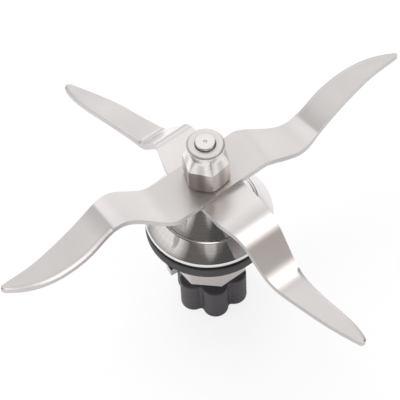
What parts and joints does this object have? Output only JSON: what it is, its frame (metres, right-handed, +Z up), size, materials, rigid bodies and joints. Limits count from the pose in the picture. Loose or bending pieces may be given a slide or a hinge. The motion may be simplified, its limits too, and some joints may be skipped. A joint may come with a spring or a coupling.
{
  "type": "blender blade assembly",
  "caption": "Blender jug blade assembly: crossed bent steel blades under a tall hexagon nut, on a ball bearing shaft in a bell housing with gasket, bayonet foot and lobed drive coupling.",
  "frame": {"origin": "on the shaft's axis, at the foot of the drive coupling", "axes": "+Z up along the shaft from the coupling to the nut, +X along the upper blade"},
  "size_m": [0.1466, 0.1352, 0.0799],
  "materials": {
    "coupling": "smooth moulded dark grey",
    "bush": "machined",
    "hardware": "plain",
    "housing": "turned and polished stainless steel",
    "gasket": "matte",
    "bearing_steel": "ground",
    "balls": "polished",
    "cage": "moulded",
    "spacers": "turned",
    "seal": "matte",
    "spring_steel": "dark phosphated",
    "shaft": "ground stainless steel",
    "blades": "satin stainless steel, ground edges",
    "nut": "turned and polished stainless steel"
  },
  "bodies": {
    "housing": {"bearing_housing": "housing", "sealing_gasket": "gasket", "upper_bearing_outer_race": "bearing_steel", "upper_bearing_shields": "hardware", "lower_bearing_outer_race": "bearing_steel", "lower_bearing_shields": "hardware", "outer_spacer": "spacers", "shaft_seal": "seal", "seal_spring": "hardware", "bore_retaining_ring": "spring_steel"},
    "rotor": {"drive_shaft": "shaft", "clamp_nut": "nut", "upper_blade": "blades", "lower_blade": "blades", "seat_washer": "shaft", "upper_bearing_inner_race": "bearing_steel", "lower_bearing_inner_race": "bearing_steel", "inner_spacer": "spacers", "shaft_retaining_ring": "spring_steel", "drive_coupling": "coupling", "coupling_bush": "bush", "coupling_washer": "hardware", "coupling_screw": "hardware"},
    "upper_ball_set": {"upper_bearing_balls": "balls", "upper_bearing_cage": "cage"},
    "lower_ball_set": {"lower_bearing_balls": "balls", "lower_bearing_cage": "cage"}
  },
  "joints": [
    {"name": "rotor_spin", "type": "hinge", "parent": "housing", "child": "rotor", "pos_m": [0, 0, 0.05], "axis": [0, 0, 1], "continuous": true},
    {"name": "upper_balls_orbit", "type": "hinge", "parent": "housing", "child": "upper_ball_set", "pos_m": [0, 0, 0.048], "axis": [0, 0, 1], "continuous": true},
    {"name": "lower_balls_orbit", "type": "hinge", "parent": "housing", "child": "lower_ball_set", "pos_m": [0, 0, 0.026], "axis": [0, 0, 1], "continuous": true}
  ],
  "couplings": [
    {"joint": "upper_balls_orbit", "follows": "rotor_spin", "ratio": 0.3824},
    {"joint": "lower_balls_orbit", "follows": "rotor_spin", "ratio": 0.3824}
  ]
}
